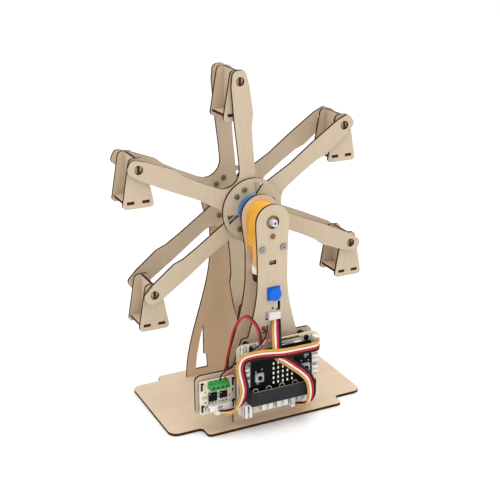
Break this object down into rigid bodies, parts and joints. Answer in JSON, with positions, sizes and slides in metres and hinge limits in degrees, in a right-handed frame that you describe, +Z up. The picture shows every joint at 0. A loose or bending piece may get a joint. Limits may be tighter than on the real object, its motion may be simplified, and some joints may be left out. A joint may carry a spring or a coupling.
{
  "type": "ferris wheel coding kit",
  "caption": "Laser cut plywood ferris wheel turned by a gear motor, with hanging gondolas and a controller, driver and dial wired on its front.",
  "frame": {"origin": "middle of the underside of the base board, on the table", "axes": "+Z up, +X to the right and -Y to the front, where the controller is"},
  "size_m": [0.2056, 0.1263, 0.271],
  "materials": {
    "plywood": "raw birch plywood, laser cut, burnt edges",
    "yellow_plastic": "yellow moulded plastic",
    "white_plastic": "white moulded plastic",
    "blue_plastic": "blue moulded plastic",
    "green_plastic": "green moulded plastic",
    "black_plastic": "black moulded plastic",
    "dark_plastic": "dark grey moulded plastic",
    "grey_case": "light grey",
    "cream_board": "cream lacquered circuit board",
    "black_board": "black lacquered circuit board",
    "led_white": "white",
    "gold_pad": "gold plated",
    "steel": "zinc plated",
    "motor_steel": "plain",
    "cell_wrap": "plain wrap",
    "ribbon": "insulated wires, yellow, white, red and black",
    "red_wire": "red insulation",
    "black_wire": "black insulation"
  },
  "bodies": {
    "stand": {"base_plate": "plywood", "front_plate": "plywood", "inner_plate": "plywood", "rear_plate": "plywood", "gearbox_front": "yellow_plastic", "gearbox_rear": "yellow_plastic", "motor_can": "motor_steel", "motor_strap": "white_plastic", "motor_screws": "steel", "motor_nuts": "steel", "driver_board": "cream_board", "driver_chips": "black_plastic", "terminal_block": "green_plastic", "dial_board": "cream_board", "dial_base": "blue_plastic", "breakout_board": "cream_board", "board_spacers": "black_plastic", "edge_connector": "dark_plastic", "board_sockets": "white_plastic", "controller_board": "black_board", "controller_leds": "led_white", "controller_pads": "gold_pad", "button_cases": "grey_case", "battery_box": "black_plastic", "battery_cells": "cell_wrap", "sensor_cable": "ribbon", "driver_cable": "ribbon", "battery_lead": "red_wire", "motor_lead_red": "red_wire", "motor_lead_black": "black_wire", "cable_plugs": "white_plastic", "rear_bush": "white_plastic"},
    "wheel": {"output_shaft": "white_plastic", "drive_hub": "blue_plastic", "front_disc": "plywood", "rear_disc": "plywood", "wheel_screws": "steel", "wheel_nuts": "steel", "rear_axle": "steel", "front_arm_pair_1": "plywood", "front_arm_pair_2": "plywood", "front_arm_pair_3": "plywood", "rear_arm_pair_1": "plywood", "rear_arm_pair_2": "plywood", "rear_arm_pair_3": "plywood"},
    "dial": {"dial_knob": "blue_plastic"},
    "button_left": {"button_a": "black_plastic"},
    "button_right": {"button_b": "black_plastic"},
    "gondola_1": {"gondola_1_sides": "plywood", "gondola_1_seat": "plywood"},
    "gondola_2": {"gondola_2_sides": "plywood", "gondola_2_seat": "plywood"},
    "gondola_3": {"gondola_3_sides": "plywood", "gondola_3_seat": "plywood"},
    "gondola_4": {"gondola_4_sides": "plywood", "gondola_4_seat": "plywood"},
    "gondola_5": {"gondola_5_sides": "plywood", "gondola_5_seat": "plywood"},
    "gondola_6": {"gondola_6_sides": "plywood", "gondola_6_seat": "plywood"}
  },
  "joints": [
    {"name": "wheel_spin", "type": "hinge", "parent": "stand", "child": "wheel", "pos_m": [0, 0, 0.163], "axis": [0, 1, 0], "continuous": true},
    {"name": "gondola_1_swing", "type": "hinge", "parent": "wheel", "child": "gondola_1", "pos_m": [-0.00872, 0.00955, 0.26262], "axis": [0, 1, 0], "continuous": true},
    {"name": "gondola_2_swing", "type": "hinge", "parent": "wheel", "child": "gondola_2", "pos_m": [-0.09063, 0.00955, 0.20526], "axis": [0, 1, 0], "continuous": true},
    {"name": "gondola_3_swing", "type": "hinge", "parent": "wheel", "child": "gondola_3", "pos_m": [-0.08192, 0.00955, 0.10564], "axis": [0, 1, 0], "continuous": true},
    {"name": "gondola_4_swing", "type": "hinge", "parent": "wheel", "child": "gondola_4", "pos_m": [0.00872, 0.00955, 0.06338], "axis": [0, 1, 0], "continuous": true},
    {"name": "gondola_5_swing", "type": "hinge", "parent": "wheel", "child": "gondola_5", "pos_m": [0.09063, 0.00955, 0.12074], "axis": [0, 1, 0], "continuous": true},
    {"name": "gondola_6_swing", "type": "hinge", "parent": "wheel", "child": "gondola_6", "pos_m": [0.08192, 0.00955, 0.22036], "axis": [0, 1, 0], "continuous": true},
    {"name": "dial_turn", "type": "hinge", "parent": "stand", "child": "dial", "pos_m": [0.0008, -0.0465, 0.1057], "axis": [0, 1, 0], "range_deg": [-150, 150]},
    {"name": "button_left_press", "type": "slide", "parent": "stand", "child": "button_left", "axis": [0, 1, 0], "range_m": [0, 0.00025], "stiffness_N_per_m": 400, "springref_m": -0.0005},
    {"name": "button_right_press", "type": "slide", "parent": "stand", "child": "button_right", "axis": [0, 1, 0], "range_m": [0, 0.00025], "stiffness_N_per_m": 400, "springref_m": -0.0005}
  ],
  "couplings": [
    {"joint": "gondola_1_swing", "follows": "wheel_spin", "ratio": -1},
    {"joint": "gondola_2_swing", "follows": "wheel_spin", "ratio": -1},
    {"joint": "gondola_3_swing", "follows": "wheel_spin", "ratio": -1},
    {"joint": "gondola_4_swing", "follows": "wheel_spin", "ratio": -1},
    {"joint": "gondola_5_swing", "follows": "wheel_spin", "ratio": -1},
    {"joint": "gondola_6_swing", "follows": "wheel_spin", "ratio": -1}
  ]
}
